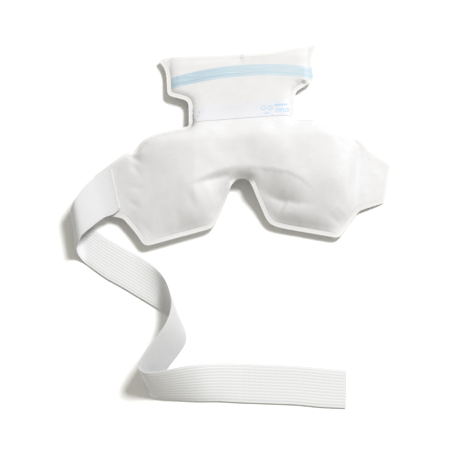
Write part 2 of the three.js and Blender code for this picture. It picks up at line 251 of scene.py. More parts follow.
def rounded(corners):
    """Points along the corners' polygon, each corner replaced by a quadratic curve of its radius."""
    n = len(corners)
    path = []
    for i, (x, y, radius) in enumerate(corners):
        here = np.array((x, y), float)
        a = np.array(corners[i - 1][:2], float) - here
        b = np.array(corners[(i + 1) % n][:2], float) - here
        reach_a = min(radius, 0.48 * np.linalg.norm(a))
        reach_b = min(radius, 0.48 * np.linalg.norm(b))
        start = here + a / np.linalg.norm(a) * reach_a
        end = here + b / np.linalg.norm(b) * reach_b
        for t in np.linspace(0, 1, 7):
            path.append((1 - t) ** 2 * start + 2 * t * (1 - t) * here + t * t * end)
    path = np.array(path + path[:1])
    steps = np.linalg.norm(np.diff(path, axis=0), axis=1)
    along = np.concatenate([[0], np.cumsum(steps)])
    count = int(round(along[-1] / LAY_SPACING))
    at = np.linspace(0, along[-1], count + 1)[:-1]
    return np.stack([np.interp(at, along, path[:, k]) for k in (0, 1)], axis=1)


OUTLINE = rounded(list(reversed(NOTCH_TOP)) + RIGHT + MOUTH + LEFT)


def distances(points, path, closed=True):
    """How far each point is from the path, and the place along it that is nearest, by segment."""
    a = path if closed else path[:-1]
    b = np.roll(path, -1, axis=0) if closed else path[1:]
    d = b - a
    rel = points[:, None, :] - a[None]
    t = np.clip((rel * d).sum(2) / np.maximum((d * d).sum(1), 1e-9), 0, 1)
    gap = np.linalg.norm(rel - t[..., None] * d, axis=2)
    nearest = gap.argmin(1)
    rows = np.arange(len(points))
    return gap[rows, nearest], nearest + t[rows, nearest]


def inside(points, path):
    a = path
    b = np.roll(path, -1, axis=0)
    x = points[:, :1]
    y = points[:, 1:]
    crosses = (a[None, :, 1] > y) != (b[None, :, 1] > y)
    rise = np.where(b[:, 1] == a[:, 1], 1e-9, b[:, 1] - a[:, 1])
    edge_x = (b[:, 0] - a[:, 0]) * (y - a[:, 1]) / rise + a[:, 0]
    return (crosses & (x < edge_x)).sum(1) % 2 == 1


def inset(path, by):
    """The closed path moved inwards, without the points where that makes it fold on itself."""
    ahead = np.roll(path, -1, axis=0) - np.roll(path, 1, axis=0)
    normal = np.stack([-ahead[:, 1], ahead[:, 0]], axis=1)
    normal /= np.linalg.norm(normal, axis=1)[:, None]
    moved = path + normal * by
    gap, _ = distances(moved, path)
    return moved[(gap > by - 0.25) & inside(moved, path)]


def zip_y(x):
    return ZIP_Y + ZIP_ARCH * (1 - (x / ZIP_HALF) ** 2)


def line(a, b):
    count = max(2, int(round(math.dist(a, b) / LAY_SPACING)) + 1)
    return np.linspace(a, b, count)


def label_y(x):
    return LABEL_Y + LABEL_SLOPE * x


def cut_lines():
    """Where the bag is split into pieces: down the middle of the body, across the neck along the
    middle of the label, across the foot of the right tab, and below the zip."""
    lip_x = np.linspace(-70, 66, 56)
    return [
        line((0, -40), (0, label_y(0))),
        line((-52, label_y(-52)), (52, label_y(52))),
        line((TAB_CUT_X, -70), (TAB_CUT_X, 12)),
        np.stack([lip_x, zip_y(np.clip(lip_x, -ZIP_HALF, ZIP_HALF)) - LIP_CUT], axis=1),
    ]


def beside(end):
    """The outline's point next to the end of a cut, or nothing if the cut ends further in."""
    gap = np.linalg.norm(OUTLINE - end, axis=1)
    return OUTLINE[[gap.argmin()]] if gap.min() < 2 * LAY_SPACING else np.empty((0, 2))


def twice_area(flat, triangles):
    a, b, c = (flat[triangles[:, k]] for k in range(3))
    return (b[:, 0] - a[:, 0]) * (c[:, 1] - a[:, 1]) - (b[:, 1] - a[:, 1]) * (c[:, 0] - a[:, 0])


def flat_mesh():
    """Points and triangles of the bag laid flat, meeting the outline, the weld line and the cuts."""
    weld_line = inset(OUTLINE, WELD_WIDTH)
    points = [OUTLINE]
    edges = []

    def add_path(path, closed):
        first = sum(len(p) for p in points)
        points.append(path)
        last = len(path) if closed else len(path) - 1
        edges.extend((first + i, first + (i + 1) % len(path)) for i in range(last))

    edges.extend((i, (i + 1) % len(OUTLINE)) for i in range(len(OUTLINE)))
    add_path(weld_line, True)
    guides = [OUTLINE, weld_line]
    for cut in cut_lines():
        kept = cut[inside(cut, OUTLINE)]
        nearest, _ = distances(kept, OUTLINE)
        kept = kept[nearest > 0.8]
        add_path(np.vstack([beside(kept[0]), kept, beside(kept[-1])]), False)
        guides.append(kept)
    low = OUTLINE.min(0)
    high = OUTLINE.max(0)
    row_gap = LAY_SPACING * math.sqrt(3) / 2
    grid = []
    for j, y in enumerate(np.arange(low[1], high[1], row_gap)):
        start = low[0] + (j % 2) * LAY_SPACING / 2
        grid.extend((x, y) for x in np.arange(start, high[0], LAY_SPACING))
    grid = np.array(grid)
    keep = inside(grid, OUTLINE)
    for k, guide in enumerate(guides):
        gap, _ = distances(grid, guide, closed=k < 2)
        keep &= gap > LAY_SPACING * 0.55
    points.append(grid[keep])
    everything = np.vstack(points)
    made = delaunay_2d_cdt([Vector(p) for p in everything], edges, [], 0, 1e-4)
    flat = np.array([tuple(v) for v in made[0]])
    triangles = np.array(made[2])
    centres = flat[triangles].mean(1)
    triangles = triangles[inside(centres, OUTLINE)]
    area = twice_area(flat, triangles)
    triangles[area < 0] = triangles[area < 0][:, ::-1]
    return flat, triangles[np.abs(area) > 1e-6]


# ---- the bag's filled shape


def dome(t):
    return np.sqrt(np.maximum(0.0, 1 - (1 - np.minimum(1.0, t)) ** 2))


def ripple(points, scale, seed):
    return np.array([noise.noise(Vector((x / scale, y / scale, seed))) for x, y in points])


def bump(p, y, reach):
    """1 at the point on the bag's middle line at y, and less further from it."""
    return np.exp(-((p[:, 0] ** 2 + (p[:, 1] - y) ** 2) / reach**2))


def weld_plane(p):
    """Height of the plane in which the two sheets are welded."""
    x, y = p.T
    up = (y - NECK_FOOT_Y) / (MOUTH_Y - NECK_FOOT_Y)
    foot = mix(NECK_FOOT_Z, RIM_Z, np.minimum(1, -up * 10))
    neck = np.where(up < 0, foot, mix(NECK_FOOT_Z, NECK_LIP_Z, up))
    tab = mix(RIM_Z, TAB_TIP_Z, ramp(np.abs(x), TAB_BASE_X, TAB_TIP_X))
    on_neck = (y > NECK_FOOT_Y - 6) & (np.abs(x) < 78)
    settled = LOBE_SETTLE * ramp(y, -30, -80) * ramp(x, -130, 100)
    settled = settled + TAB_SETTLE * ramp(x, 78, 104) * ramp(y, 8, -4)
    lift = NOTCH_LIFT * bump(p, NOTCH_LIFT_Y, NOTCH_LIFT_REACH)
    return np.where(on_neck, neck, tab) + lift - settled + RIM_RIPPLE * ripple(p, RIPPLE_LENGTH, 3.0)


def neighbours(triangles, total):
    """For each point the points that it shares an edge with, which of these are only padding, and
    how many there are."""
    pairs = np.vstack([triangles[:, pair] for pair in ((0, 1), (1, 2), (2, 0))])
    pairs = np.unique(np.vstack([pairs, pairs[:, ::-1]]), axis=0)
    count = np.zeros(total, int)
    np.add.at(count, pairs[:, 0], 1)
    ends = np.full((total, count.max()), -1)
    place = np.concatenate([[0], np.cumsum(count)[:-1]])
    ends[pairs[:, 0], np.arange(len(pairs)) - place[pairs[:, 0]]] = pairs[:, 1]
    missing = ends < 0
    ends[missing] = 0
    return ends, missing, np.maximum(1, count)


def average(values, around):
    """The mean of the values at the points around each."""
    ends, missing, count = around
    there = values[ends]
    there[missing] = 0
    return (there.sum(1).T / count).T


def membrane(p, triangles, fixed):
    """Height of a soap film over the pattern under an even push, zero at the fixed points."""
    ends, missing, count = neighbours(triangles, len(p))
    gaps = np.linalg.norm(p[ends] - p[:, None], axis=2)
    gaps[missing] = 0
    push = (gaps**2).sum(1) / count / 4
    height = np.zeros(len(p))
    for _ in range(FILM_STEPS):
        height = np.where(fixed, 0, average(height, (ends, missing, count)) + push)
    return height


def soften(values, triangles, rounds):
    """Values at the points, each evened out with those around it."""
    around = neighbours(triangles, len(values))
    for _ in range(rounds):
        values = (values + average(values, around)) / 2
    return values


def step_down(p):
    """Share of the fill's height that is lost below the line of the step."""
    path = np.array([point[:2] for point in STEP], float)
    gap, at = distances(p, path, closed=False)
    amount, width, reach, late = (
        np.interp(at, np.arange(len(STEP)), [point[k] for point in STEP]) for k in (2, 3, 4, 5)
    )
    first = np.minimum(at.astype(int), len(path) - 2)
    ahead = path[first + 1] - path[first]
    rel = p - path[first]
    below = ahead[:, 0] * rel[:, 1] - ahead[:, 1] * rel[:, 0] < 0
    beyond = np.maximum(0, gap - width)
    fall = np.minimum(1, gap / width) ** late
    regained = (1 - 0.06 * smooth(beyond / 4)) * np.exp(-((beyond / reach) ** 2))
    crest = STEP_CREST * amount * np.exp(-((gap / STEP_CREST_REACH) ** 2))
    return np.where(below, amount * fall * regained, -crest)


def creases(p):
    total = np.zeros(len(p))
    for x0, y0, x1, y1, depth, width in CREASES:
        path = np.array([(x0, y0), (x1, y1)], float)
        gap, at = distances(p, path, closed=False)
        taper = np.sin(np.pi * np.clip(at, 0.04, 0.96))
        total -= depth * taper * np.exp(-((gap / width) ** 2))
    return total


def film_share(p, triangles, edge):
    """How full the body is, from 0 at its welds and beyond its ends to 1."""
    x, y = p.T
    outside = (x > TAB_CUT_X - 1.5) | (x < -TAB_BASE_X - 9) | (y > 52)
    film = membrane(p, triangles, (edge < WELD_WIDTH + 0.2) | outside)
    return 1 - np.exp(-FILM_GAIN * film)


def end_taper(x):
    """The fill thins out evenly towards the left tab, and ends at the right one."""
    along = np.clip((x + 117) / 76, 0, 1)
    return along * (1.35 - 0.35 * along) * ramp(x, TAB_CUT_X + 3, TAB_CUT_X - 13)


def swell(p, roundness, fall):
    """Share of the crown that the fill reaches, before the step and the creases."""
    x, y = p.T
    towards_brow = ramp(y, -34, 10)
    towards_notch = smooth(1.7 - np.hypot(x - NOTCH_HEAD[0], (y - NOTCH_HEAD[1]) * 1.3) / 17)
    steepness = mix(LOBE_STEEPNESS, BROW_STEEPNESS, np.maximum(towards_brow, 0.7 * towards_notch))
    lobe = mix(LOBE_SHARE, 1.0, ramp(y, -72, -26))
    lumps = 1 + sum(share * ripple(p, length, seed) for share, length, seed in LUMPS)
    saddle = 1 - SADDLE * bump(p, SADDLE_Y, SADDLE_REACH)
    return roundness**steepness * fall * lumps * lobe * saddle


def neck_dome(p, depth):
    """The neck's puff, from 0 to 1. Near the mouth only its two sides are welded."""
    x, y = p.T
    from_sides = np.maximum(0, np.minimum(x - NECK_LEFT, NECK_RIGHT - x) - WELD_WIDTH)
    neck = np.where(y > NECK_FOOT_Y, dome(depth / NECK_REACH), 0)
    return np.where(y > 76, dome(from_sides / NECK_REACH), neck)


def zip_bulge(p):
    off_zip = np.abs(p[:, 1] - zip_y(p[:, 0])) - ZIP_BAND / 2
    ends = ramp(np.abs(p[:, 0]), ZIP_HALF + 2.2, ZIP_HALF + 0.6)
    return ZIP_RISE * ends * ramp(off_zip, 2.6, 0.8)


def fill_height(p, triangles, edge):
    """Height of the front sheet over the weld plane, and drop of the back sheet below it."""
    x, y = p.T
    share = film_share(p, triangles, edge)
    roundness = (1 - (1 - share) ** 2) * end_taper(x)
    fall = 1 - ramp(y, 6, 42)
    depth = np.maximum(0, edge - WELD_WIDTH)
    on_tab = ramp(x, TAB_CUT_X, TAB_CUT_X + 3) * dome(depth / 2)
    creased = np.maximum(np.clip(share * 3, 0, 1) * fall, on_tab)
    front = CROWN * swell(p, roundness, fall) * (1 - step_down(p)) + creases(p) * creased
    neck = neck_dome(p, depth)
    from_mouth = np.clip((np.where(x > 0, 92, 86) - y) / 6, 0, 1)
    puffed = NECK_PUFF * neck * mix(0.55, 1, from_mouth)
    drop = np.maximum(BELLY * np.sqrt(roundness) * fall, NECK_DROP * neck)
    return np.maximum(front, np.maximum(zip_bulge(p), puffed)), drop


def raise_sheets(p, triangles):
    """The outer points of the front and back sheets, in millimetres on the pattern."""
    x, y = p.T
    plane = weld_plane(p)
    edge, _ = distances(p, OUTLINE)
    front_rise, drop = fill_height(p, triangles, edge)
    brow = ramp(y, -2, 8) * (1 - ramp(y, 22, 25)) * (np.abs(x) < 98)
    notch = ramp(np.hypot(x - NOTCH_HEAD[0], y - NOTCH_HEAD[1]), 15, 6)
    hang = RIM_DROOP + BROW_DROOP * brow + NOTCH_DROOP * notch
    droop = hang * np.clip(1 - edge / WELD_WIDTH, 0, 1)
    top = plane + RIM_HALF + front_rise - droop
    under = np.maximum(0.05, plane - RIM_HALF - drop - droop)
    return np.column_stack([p, top]), np.column_stack([p, under])


# ---- cloth simulation of the front sheet

SIM_SCALE = 0.01  # a hundred millimetres of pattern is one metre in the simulation
SIM_FRAMES = 22
SIM_SETTINGS = {
    "quality": 6, "mass": 0.25, "tension_stiffness": 25, "compression_stiffness": 25,
    "shear_stiffness": 12, "bending_stiffness": 2.0, "air_damping": 2, "vertex_group_mass": "held",
    "shrink_min": -0.003,  # the sheet is cut a little larger than its shape, so it wrinkles
    "use_pressure": True, "uniform_pressure_force": 0.35,
}
SIM_CAP = 1.4  # the furthest a point may move, millimetres
SIM_SOFTENING = 15  # rounds that even out the wrinkles finer than the real sheet shows


def puff(top, triangles, held):
    """The front sheet after the cloth simulation, with the points in held kept where they are."""
    mesh = bpy.data.meshes.new("sim_sheet")
    mesh.from_pydata([tuple(v) for v in top * SIM_SCALE], [], triangles.tolist())
    sheet = put_in_scene("sim_sheet", mesh)
    group = sheet.vertex_groups.new(name="held")
    group.add([int(i) for i in np.flatnonzero(held)], 1.0, "REPLACE")
    cloth = sheet.modifiers.new("Cloth", "CLOTH")
    for setting, value in SIM_SETTINGS.items():
        setattr(cloth.settings, setting, value)
    cloth.settings.effector_weights.gravity = 0
    cloth.collision_settings.use_collision = False
    cloth.point_cache.frame_start = 1
    cloth.point_cache.frame_end = SIM_FRAMES
    scene = bpy.context.scene
    for number in range(1, SIM_FRAMES + 1):
        scene.frame_set(number)
    graph = bpy.context.evaluated_depsgraph_get()
    result = sheet.evaluated_get(graph).to_mesh()
    co = np.zeros(len(result.vertices) * 3, np.float32)
    result.vertices.foreach_get("co", co)
    sheet.evaluated_get(graph).to_mesh_clear()
    bpy.data.objects.remove(sheet)
    scene.frame_set(1)
    moved = co.reshape(-1, 3).astype(float) / SIM_SCALE
    step = moved - top
    length = np.linalg.norm(step, axis=1)
    scale = np.minimum(1, SIM_CAP / np.maximum(length, 1e-6))
    step = soften(step * scale[:, None], triangles, SIM_SOFTENING)
    return top + np.where(held[:, None], 0, step)


# ---- pieces of the bag


def lay(points):
    """Pattern millimetres to metres in the frame."""
    out = points * MM
    out[:, 1] += LAY_SLOPE * out[:, 0]
    return out


def point_normals(points, triangles, classes):
    """Smooth normals for each point, one for the weld's faces and one for the others."""
    a, b, c = (points[triangles[:, k]] for k in range(3))
    face = np.cross(b - a, c - a)
    normals = np.zeros((2, len(points), 3))
    for k in range(3):
        np.add.at(normals, (classes, triangles[:, k]), face)
    size = np.linalg.norm(normals, axis=2, keepdims=True)
    return normals / np.maximum(size, 1e-12)


def boundary(triangles):
    """The edges that one triangle has to itself, in that triangle's direction."""
    corners = triangles.tolist()
    seen = dict.fromkeys(edge for a, b, c in corners for edge in ((a, b), (b, c), (c, a)))
    return [edge for edge in seen if (edge[1], edge[0]) not in seen]


def shell(name, triangles, classes, sheets, walls, materials):
    """A piece with an upper and a lower surface over the same triangles, and walls between them.
    sheets is (upper points, lower points, upper normals, lower normals). The first material is on
    the surfaces, and the second on the walls."""
    upper, lower, upper_normals, lower_normals = sheets
    used = np.unique(triangles)
    index = np.full(len(upper), -1)
    index[used] = np.arange(len(used))
    n = len(used)
    local = index[triangles]
    faces = local.tolist() + (local[:, ::-1] + n).tolist()
    kind = classes[:, None]
    loop_normals = upper_normals[kind, triangles].reshape(-1, 3).tolist()
    loop_normals += lower_normals[kind, triangles[:, ::-1]].reshape(-1, 3).tolist()
    for a, b in walls:
        i, j = int(index[a]), int(index[b])
        faces.append((j, i, i + n, j + n))
        across = np.cross(upper[b] - upper[a], (0, 0, 1))
        across /= max(np.linalg.norm(across), 1e-12)
        loop_normals.extend([tuple(across)] * 4)
    mesh = bpy.data.meshes.new(name)
    mesh.from_pydata(np.vstack([upper[used], lower[used]]).tolist(), [], faces)
    on_wall = np.arange(len(faces)) >= 2 * len(triangles)
    mesh.polygons.foreach_set("material_index", on_wall.astype(np.int32))
    mesh.polygons.foreach_set("use_smooth", np.ones(len(faces), bool))
    corner = np.zeros(len(mesh.loops), np.int32)
    mesh.loops.foreach_get("vertex_index", corner)
    from_edge = np.column_stack([EDGE_GAP, np.zeros(len(FLAT))])
    for layer, values in (("pattern", FLAT / PATTERN_UNIT), ("rim", from_edge / RIM_UNIT)):
        uv = np.vstack([values[used], values[used]])[corner]
        mesh.uv_layers.new(name=layer).data.foreach_set("uv", uv.astype(np.float32).ravel())
    mesh.update()
    mesh.normals_split_custom_set(loop_normals)
    for material in materials:
        mesh.materials.append(material)
    return put_in_scene(name, mesh)


# ---- materials


class Shader:
    """A principled material, with short calls for the nodes that feed it."""

    def __init__(self, name, colour, roughness, sheen=0.0):
        self.material = bpy.data.materials.new(name)
        self.material.use_nodes = True
        self.tree = self.material.node_tree
        self.out = self.tree.nodes["Principled BSDF"]
        self.out.inputs["Base Color"].default_value = (*colour, 1.0)
        self.out.inputs["Roughness"].default_value = roughness
        self.out.inputs["Sheen Weight"].default_value = sheen
        self.out.inputs["Specular IOR Level"].default_value = 0.3

    def node(self, kind, **inputs):
        made = self.tree.nodes.new(kind)
        for key, value in inputs.items():
            self.put(made, key, value)
        return made

    def put(self, node, key, value):
        socket = node.inputs[int(key[1:]) if key[0] == "i" and key[1:].isdigit() else key]
        if isinstance(value, bpy.types.NodeSocket):
            self.tree.links.new(value, socket)
        else:
            socket.default_value = value

    def math(self, operation, a, b=0.0):
        made = self.tree.nodes.new("ShaderNodeMath")
        made.operation = operation
        self.put(made, "i0", a)
        self.put(made, "i1", b)
        return made.outputs[0]

    def times(self, a, b):
        return self.math("MULTIPLY", a, b)

    def plus(self, a, b):
        return self.math("ADD", a, b)

    def minus(self, a, b):
        return self.math("SUBTRACT", a, b)

    def uv(self):
        return self.node("ShaderNodeTexCoord").outputs["UV"]

    def place(self):
        return self.node("ShaderNodeTexCoord").outputs["Object"]

    def noise(self, vector, scale, detail=3.0, roughness=0.6):
        made = self.node("ShaderNodeTexNoise", Vector=vector, Scale=scale, Detail=detail)
        made.inputs["Roughness"].default_value = roughness
        return made.outputs["Fac"]

    def stretched(self, vector, scale):
        made = self.node("ShaderNodeMapping", Vector=vector)
        made.inputs["Scale"].default_value = scale
        return made.outputs["Vector"]

    def blend(self, factor, a, b):
        made = self.tree.nodes.new("ShaderNodeMix")
        made.data_type = "RGBA"
        self.put(made, "i0", factor)
        for key, value in (("i6", a), ("i7", b)):
            self.put(made, key, value if isinstance(value, bpy.types.NodeSocket) else (*value, 1.0))
        return made.outputs[2]

    def range(self, value, low, high, to_low=0.0, to_high=1.0):
        made = self.tree.nodes.new("ShaderNodeMapRange")
        made.interpolation_type = "SMOOTHSTEP"
        for key, number in zip(("i0", "i1", "i2", "i3", "i4"), (value, low, high, to_low, to_high)):
            self.put(made, key, number)
        return made.outputs[0]

    def colour(self, value):
        self.put(self.out, "Base Color", value)

    def wave(self, position, pitch, wobble, wander):
        """A sine along the position, from 0 to 1, which wobble shifts by up to wander radians."""
        turns = self.times(position, math.tau / pitch)
        angle = self.plus(turns, self.times(wobble, wander))
        wave = self.math("MULTIPLY_ADD", self.math("SINE", angle), 0.5)
        wave.node.inputs[2].default_value = 0.5
        return wave

    def bump(self, height, distance, strength):
        made = self.node("ShaderNodeBump", Height=height, Distance=distance, Strength=strength)
        self.put(self.out, "Normal", made.outputs["Normal"])


RIM_BRIGHT = (0.72, 0.715, 0.71)
RIM_PALE = (0.68, 0.675, 0.672)
# painted shade for the dark line just inside the weld, where the fill rises from it
RIM_GROOVE_SHADE = (0.50, 0.49, 0.465)
WELD_EDGE = WELD_WIDTH / RIM_UNIT


def welded_edge(s, cloth):
    """The weld's look: a bright melted edge, a paler flat band, and a fine groove inside it, whose
    dark line is painted shade.
    """
    layer = s.node("ShaderNodeUVMap")
    layer.uv_map = "rim"
    depth = s.node("ShaderNodeSeparateXYZ", Vector=layer.outputs["UV"]).outputs["X"]
    wander = s.times(s.noise(s.uv(), 14.0, 2.0), 0.05)
    depth = s.plus(depth, s.minus(wander, 0.025))
    band = s.range(depth, WELD_EDGE + 0.06, WELD_EDGE - 0.06)
    cloth = s.blend(s.times(band, 0.5), cloth, RIM_PALE)
    # The groove's line is sunk in the bump, and its darker colour is painted shade.
    groove_gap = s.math("ABSOLUTE", s.minus(depth, WELD_EDGE + 0.03))
    groove = s.times(s.range(groove_gap, 0.055, 0.0), 0.20)
    cloth = s.blend(groove, cloth, RIM_GROOVE_SHADE)
    return s.blend(s.range(depth, 0.22, 0.04), cloth, RIM_BRIGHT), groove


def nonwoven(name, pale, dull, with_zip=False):
    """Laminated nonwoven: fibres pressed flat, bonded in a fine grid of points."""
    s = Shader(name, pale, 0.78, sheen=0.12)
    place = s.place()
    uv = s.uv()
    cloud = s.noise(uv, 9.0, 4.0)
    fibres = s.noise(s.stretched(place, (900, 260, 600)), 1.0, 3.0, 0.7)
    cross = s.noise(s.stretched(place, (240, 1000, 600)), 1.0, 3.0, 0.7)
    bonds = s.node("ShaderNodeTexVoronoi", Vector=place, Scale=900.0)
    dots = s.range(bonds.outputs["Distance"], 0.0, 0.55)
    threads = s.plus(fibres, cross)
    tone = s.plus(s.times(threads, 0.45), s.times(cloud, 0.75))
    colour = s.blend(s.range(tone, 0.55, 1.1), dull, pale)
    height = s.plus(s.times(dots, 0.5), threads)
    colour, groove = welded_edge(s, colour)
    height = s.minus(height, s.times(groove, 6.0))
    if with_zip:
        colour = zip_seen_through(s, uv, colour)
    s.colour(colour)
    s.bump(height, 0.00012, 0.55)
    return s.material


# Painted shade lines along the zip's two tracks: their place across the band and their width, in
# units of the pattern's texture coordinates, and their dark colour, which is strongest at the band's
# left end.
ZIP_TRACK_SHADES = [(-0.024, 0.007, (0.27, 0.39, 0.50)), (0.016, 0.005, (0.42, 0.52, 0.60))]


def zip_seen_through(s, uv, cloth):
    """The blue zip inside the neck, as it shows through the sheet: a band with painted shade lines
    along its two tracks, and painted highlight streaks.
    """
    split = s.node("ShaderNodeSeparateXYZ", Vector=uv)
    x = split.outputs["X"]
    y = split.outputs["Y"]
    half_length = ZIP_HALF / PATTERN_UNIT
    arch = ZIP_ARCH / PATTERN_UNIT
    bow = s.math("POWER", s.math("DIVIDE", s.math("ABSOLUTE", x), half_length), 2.0)
    middle = s.minus(ZIP_Y / PATTERN_UNIT + arch, s.times(bow, arch))
    middle = s.plus(middle, s.times(x, ZIP_TILT))
    offset = s.minus(y, middle)
    half = ZIP_BAND / 2 / PATTERN_UNIT
    across = s.math("ABSOLUTE", offset)
    inner_end = s.range(x, -0.632, -0.612)
    band = s.times(s.range(across, half + 0.004, half - 0.006), inner_end)
    fade = s.range(x, -0.55, 0.35)
    # Pale streaks along the band are painted highlights on its glossy plastic.
    highlight_streaks = s.noise(s.stretched(uv, (3, 70, 1)), 1.0, 2.0)
    blue = s.blend(fade, (0.385, 0.50, 0.575), (0.50, 0.59, 0.65))
    blue = s.blend(s.times(s.range(highlight_streaks, 0.5, 0.72), 0.6), blue, (0.62, 0.69, 0.74))
    for place, width, dark in ZIP_TRACK_SHADES:
        near = s.math("ABSOLUTE", s.minus(offset, place))
        strength = s.range(fade, 1.0, 0.0, 0.35, 0.85)
        blue = s.blend(s.times(s.range(near, width, 0.0), strength), blue, dark)
    return s.blend(s.times(band, 0.92), cloth, blue)


def weld_material(name, with_zip=False):
    """The welded rim: the fibres are melted together, so it is smoother and brighter."""
    s = Shader(name, (0.70, 0.695, 0.68), 0.55)
    place = s.place()
    grain = s.noise(place, 700.0, 3.0)
    colour = s.blend(s.range(grain, 0.3, 0.7), (0.68, 0.675, 0.66), (0.72, 0.715, 0.70))
    if with_zip:
        colour = zip_seen_through(s, s.uv(), colour)
    s.colour(colour)
    s.bump(grain, 0.0001, 0.3)
    return s.material


RIB_PITCH = 0.0267  # of the elastic, in the same units
PICK_PITCH = 0.0125


def elastic(name, lengthwise, pale, dull):
    """Ribbed elastic. The texture's X is across the strap and Y along it. Its colour is darker in
    the valleys between the ribs, which is painted shade, and varies with random specks.
    """
    s = Shader(name, pale, 0.7, sheen=0.15)
    split = s.node("ShaderNodeSeparateXYZ", Vector=s.uv())
    across = split.outputs["X"]
    along = split.outputs["Y"]
    wobble = s.noise(s.stretched(s.uv(), (40, 9, 1)), 1.0, 2.0)
    ribs = s.wave(across, RIB_PITCH, wobble, 0.6)
    picks = s.wave(along, PICK_PITCH, wobble, 1.5)
    main, fine = (ribs, picks) if lengthwise else (picks, ribs)
    relief = s.plus(main, s.times(fine, 0.35))
    speck = s.noise(s.stretched(s.uv(), (500, 900, 1)), 1.0, 2.0)
    # The colour follows the ribs' relief, darker in their valleys: painted shade. The specks are
    # random tone.
    tone = s.plus(relief, s.times(speck, 0.3))
    s.colour(s.blend(s.range(tone, 0.1, 0.75), dull, pale))
    s.bump(s.plus(relief, s.times(speck, 0.25)), 0.00016, 0.7)
    return s.material


def plain_plastic(name, pale, dull, roughness, scale=500.0):
    s = Shader(name, pale, roughness)
    grain = s.noise(s.place(), scale, 4.0)
    s.colour(s.blend(s.range(grain, 0.35, 0.65), dull, pale))
    s.bump(grain, 0.00008, 0.4)
    return s.material


FABRIC = nonwoven("nonwoven", (0.680, 0.672, 0.688), (0.640, 0.631, 0.640))
NECK_FABRIC = nonwoven("nonwoven_neck", (0.672, 0.665, 0.676), (0.637, 0.630, 0.636), with_zip=True)
WELD = weld_material("weld_rim")
NECK_WELD = weld_material("weld_rim_neck", with_zip=True)
STRAP_FACE_A = elastic("elastic_outer", False, (0.61, 0.61, 0.622), (0.55, 0.55, 0.56))
STRAP_FACE_B = elastic("elastic_ribs", True, (0.70, 0.70, 0.71), (0.59, 0.59, 0.60))
STRAP_WELD = plain_plastic("strap_weld", (0.62, 0.62, 0.62), (0.56, 0.56, 0.56), 0.5, 700.0)
ZIP = plain_plastic("zip", (0.55, 0.74, 0.85), (0.45, 0.66, 0.79), 0.3)
LABEL = plain_plastic("label", (0.645, 0.645, 0.675), (0.62, 0.62, 0.65), 0.5, 900.0)
INK = plain_plastic("label_ink", (0.26, 0.47, 0.70), (0.36, 0.56, 0.76), 0.5, 1500.0)
DARK_INK = plain_plastic("label_ink_dark", (0.12, 0.10, 0.09), (0.25, 0.20, 0.17), 0.5, 1500.0)
HOOK = plain_plastic("hook", (0.78, 0.78, 0.77), (0.45, 0.45, 0.44), 0.5, 1400.0)

# ---- build the bag

FLAT, TRIANGLES = flat_mesh()
CENTRES = FLAT[TRIANGLES].mean(1)
EDGE_GAP, _ = distances(FLAT, OUTLINE)
centre_gap, _ = distances(CENTRES, OUTLINE)
near_edge = centre_gap < WELD_WIDTH - 0.3
open_mouth = CENTRES[:, 1] > np.where(CENTRES[:, 0] > 0, 84.0, 80.0)
open_mouth &= (CENTRES[:, 0] > -64) & (CENTRES[:, 0] < 57)
IS_WELD = near_edge.astype(int)

top, under = raise_sheets(FLAT, TRIANGLES)
held = (EDGE_GAP < WELD_WIDTH + 0.4) | (FLAT[:, 1] > 30)
held |= np.abs(FLAT[:, 0]) > TAB_BASE_X + 6
top = puff(top, TRIANGLES, held)
top = lay(top)
under = lay(under)
UP = point_normals(top, TRIANGLES, IS_WELD)
DOWN = -point_normals(under, TRIANGLES, IS_WELD)
SURFACE = BVHTree.FromPolygons(top.tolist(), TRIANGLES.tolist())
OUTLINE_EDGES = set(boundary(TRIANGLES))

on_neck = CENTRES[:, 1] > label_y(CENTRES[:, 0])
on_tab = CENTRES[:, 0] > TAB_CUT_X
above_zip = CENTRES[:, 1] > zip_y(np.clip(CENTRES[:, 0], -ZIP_HALF, ZIP_HALF)) - LIP_CUT
left_half = ~on_neck & (CENTRES[:, 0] < 0)
right_half = ~on_neck & (CENTRES[:, 0] > 0) & ~on_tab
right_tab = ~on_neck & on_tab
lip = on_neck & above_zip & (~near_edge | open_mouth)
throat = on_neck & ~lip
BOTH = (top, under, UP, DOWN)


def closed_part(name, mask, closed_cuts=False):
    """The front and back sheets of a part of the bag, with the rim between them."""
    tris = TRIANGLES[mask]
    walls = [edge for edge in boundary(tris) if closed_cuts or edge in OUTLINE_EDGES]
    return shell(name, tris, IS_WELD[mask], BOTH, walls, (FABRIC, WELD))


def skin_part(name, mask, front, materials):
    """One sheet of its real thickness, its inner face pushed in along the outer one's normals."""
    tris = TRIANGLES[mask]
    outer, normals = (top, UP) if front else (under, DOWN)
    inward = np.where(np.linalg.norm(normals[0], axis=1)[:, None] > 0.5, normals[0], normals[1])
    inner = outer - inward * SKIN * MM
    if front:
        sheets = (outer, inner, normals, -normals)
    else:
        sheets = (inner, outer, -normals, normals)
    return shell(name, tris, IS_WELD[mask], sheets, boundary(tris), materials)


NECK_MATERIALS = (NECK_FABRIC, NECK_WELD)


